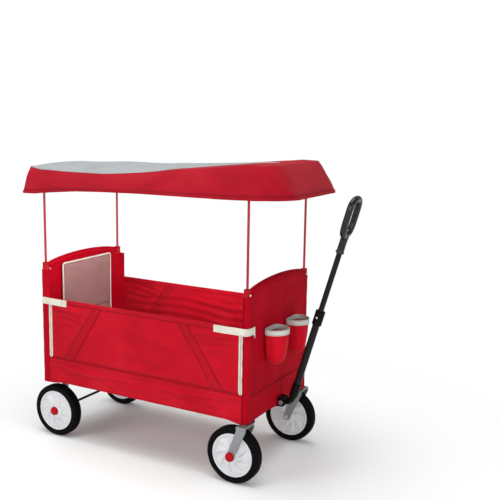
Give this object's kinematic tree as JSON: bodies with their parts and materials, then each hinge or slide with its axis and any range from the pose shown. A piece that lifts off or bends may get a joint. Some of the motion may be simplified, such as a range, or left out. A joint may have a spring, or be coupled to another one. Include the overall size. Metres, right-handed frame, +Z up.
{
  "type": "folding pull wagon",
  "caption": "Folding pull wagon for children: fabric tub between two steel end frames, hinged floor, swivel front casters, telescoping handle, drop side, cup holders and a sunshade on poles.",
  "frame": {"origin": "on the ground, under the middle of the whole wagon with its handle as shown", "axes": "+X forward to the handle end, +Y to the wagon's left, +Z up"},
  "size_m": [1.2438, 0.5216, 1.0877],
  "materials": {
    "frame_grey": "grey powder-coated steel tube and strap",
    "tube_black": "black coated steel tube",
    "fastener": "zinc-plated steel",
    "fabric_red": "coarse woven polyester, red",
    "fabric_grey": "woven polyester, light grey",
    "seat_taupe": "padded woven polyester, taupe",
    "webbing_cream": "cream webbing and zip tape",
    "floor_fabric": "padded woven floor cover over a board",
    "plastic_red": "moulded red plastic and red-coated rod",
    "plastic_black": "moulded black plastic, fine grain",
    "wheel_white": "moulded white plastic with raised swirl spokes",
    "tyre": "black moulded tread",
    "grip_black": "soft-touch black grip"
  },
  "bodies": {
    "rear_frame": {"rear_end_frame": "frame_grey", "rear_hinge_rod": "fastener", "rear_panel": "fabric_red", "rear_seat_back": "seat_taupe", "side_wall_left": "fabric_red", "side_skirt_right": "fabric_red", "zipper_rear": "webbing_cream", "rear_axle": "tube_black", "hub_cap_rear_right": "plastic_red", "hub_cap_rear_left": "plastic_red", "pole_socket_rear_right": "plastic_red", "pole_socket_rear_left": "plastic_red"},
    "floor_rear": {"floor_rear_frame": "frame_grey", "floor_rear_panel": "floor_fabric", "middle_hinge_rod": "fastener"},
    "floor_front": {"floor_front_frame": "frame_grey", "floor_front_panel": "floor_fabric"},
    "front_frame": {"front_end_frame": "frame_grey", "front_hinge_rod": "fastener", "front_panel": "fabric_red", "front_seat_back": "seat_taupe", "zipper_front": "webbing_cream", "cup_holder_right": "fabric_red", "cup_holder_left": "fabric_red", "cup_rim_right": "fabric_grey", "cup_rim_left": "fabric_grey", "pole_socket_front_right": "plastic_red", "pole_socket_front_left": "plastic_red", "caster_housing_right": "plastic_black", "caster_housing_left": "plastic_black", "handle_bracket": "plastic_black", "handle_pivot_bolt": "fastener"},
    "side_flap": {"side_flap_right": "fabric_red", "strap_front": "webbing_cream", "strap_rear": "webbing_cream"},
    "caster_right": {"caster_fork_right": "frame_grey", "front_axle_right": "fastener", "hub_cap_front_right": "plastic_red"},
    "caster_left": {"caster_fork_left": "frame_grey", "front_axle_left": "fastener", "hub_cap_front_left": "plastic_red"},
    "wheel_front_right": {"tyre_front_right": "tyre", "rim_front_right": "wheel_white"},
    "wheel_front_left": {"tyre_front_left": "tyre", "rim_front_left": "wheel_white"},
    "wheel_rear_right": {"tyre_rear_right": "tyre", "rim_rear_right": "wheel_white"},
    "wheel_rear_left": {"tyre_rear_left": "tyre", "rim_rear_left": "wheel_white"},
    "handle": {"handle_yoke": "plastic_black", "handle_lower_tube": "tube_black", "handle_collar": "plastic_black"},
    "handle_upper": {"handle_upper_tube": "tube_black", "handle_grip": "grip_black"},
    "handle_release": {"handle_button": "fastener"},
    "canopy_rear": {"canopy": "fabric_red", "canopy_pole_rear_right": "plastic_red", "canopy_pole_rear_left": "plastic_red"},
    "canopy_front": {"canopy_pole_front_right": "plastic_red", "canopy_pole_front_left": "plastic_red"}
  },
  "joints": [
    {"name": "fold", "type": "hinge", "parent": "rear_frame", "child": "floor_rear", "pos_m": [-0.4747, 0, 0.228], "axis": [0, -1, 0], "range_deg": [0, 77], "deforming": ["side_wall_left", "side_skirt_right", "side_flap_right", "strap_front", "strap_rear", "canopy"]},
    {"name": "floor_middle_hinge", "type": "hinge", "parent": "floor_rear", "child": "floor_front", "pos_m": [-0.1047, 0, 0.228], "axis": [0, -1, 0], "range_deg": [-154.1, 0.1]},
    {"name": "floor_front_hinge", "type": "hinge", "parent": "floor_front", "child": "front_frame", "pos_m": [0.2653, 0, 0.228], "axis": [0, -1, 0], "range_deg": [-0.1, 77.1]},
    {"name": "caster_swivel_right", "type": "hinge", "parent": "front_frame", "child": "caster_right", "pos_m": [0.327, -0.2165, 0.214], "axis": [0, 0, 1], "continuous": true},
    {"name": "caster_swivel_left", "type": "hinge", "parent": "front_frame", "child": "caster_left", "pos_m": [0.327, 0.2165, 0.214], "axis": [0, 0, 1], "continuous": true},
    {"name": "wheel_spin_front_right", "type": "hinge", "parent": "caster_right", "child": "wheel_front_right", "pos_m": [0.2871, -0.2165, 0.1], "axis": [0, 1, 0], "continuous": true},
    {"name": "wheel_spin_front_left", "type": "hinge", "parent": "caster_left", "child": "wheel_front_left", "pos_m": [0.2871, 0.2165, 0.1], "axis": [0, 1, 0], "continuous": true},
    {"name": "wheel_spin_rear_right", "type": "hinge", "parent": "rear_frame", "child": "wheel_rear_right", "pos_m": [-0.5034, -0.2015, 0.1], "axis": [0, 1, 0], "continuous": true},
    {"name": "wheel_spin_rear_left", "type": "hinge", "parent": "rear_frame", "child": "wheel_rear_left", "pos_m": [-0.5034, 0.2015, 0.1], "axis": [0, 1, 0], "continuous": true},
    {"name": "handle_pivot", "type": "hinge", "parent": "front_frame", "child": "handle", "pos_m": [0.3616, 0, 0.236], "axis": [0, 1, 0], "range_deg": [-8, 80]},
    {"name": "handle_telescope", "type": "slide", "parent": "handle", "child": "handle_upper", "axis": [0.2833, 0, 0.959], "range_m": [-0.205, 0]},
    {"name": "handle_release_press", "type": "slide", "parent": "handle", "child": "handle_release", "axis": [0, 1, 0], "range_m": [0, 0.003], "stiffness_N_per_m": 400, "springref_m": -0.002},
    {"name": "side_flap_open", "type": "hinge", "parent": "rear_frame", "child": "side_flap", "pos_m": [-0.1047, -0.2314, 0.318], "axis": [1, 0, 0], "range_deg": [0, 150]},
    {"name": "canopy_lift_rear", "type": "slide", "parent": "rear_frame", "child": "canopy_rear", "axis": [0, 0, 1], "range_m": [0, 0.1]},
    {"name": "canopy_lift_front", "type": "slide", "parent": "front_frame", "child": "canopy_front", "axis": [0, 0, 1], "range_m": [0, 0.1]}
  ],
  "couplings": [
    {"joint": "floor_middle_hinge", "follows": "fold", "ratio": -2},
    {"joint": "floor_front_hinge", "follows": "fold", "ratio": 1},
    {"joint": "canopy_lift_front", "follows": "canopy_lift_rear", "ratio": 1}
  ]
}
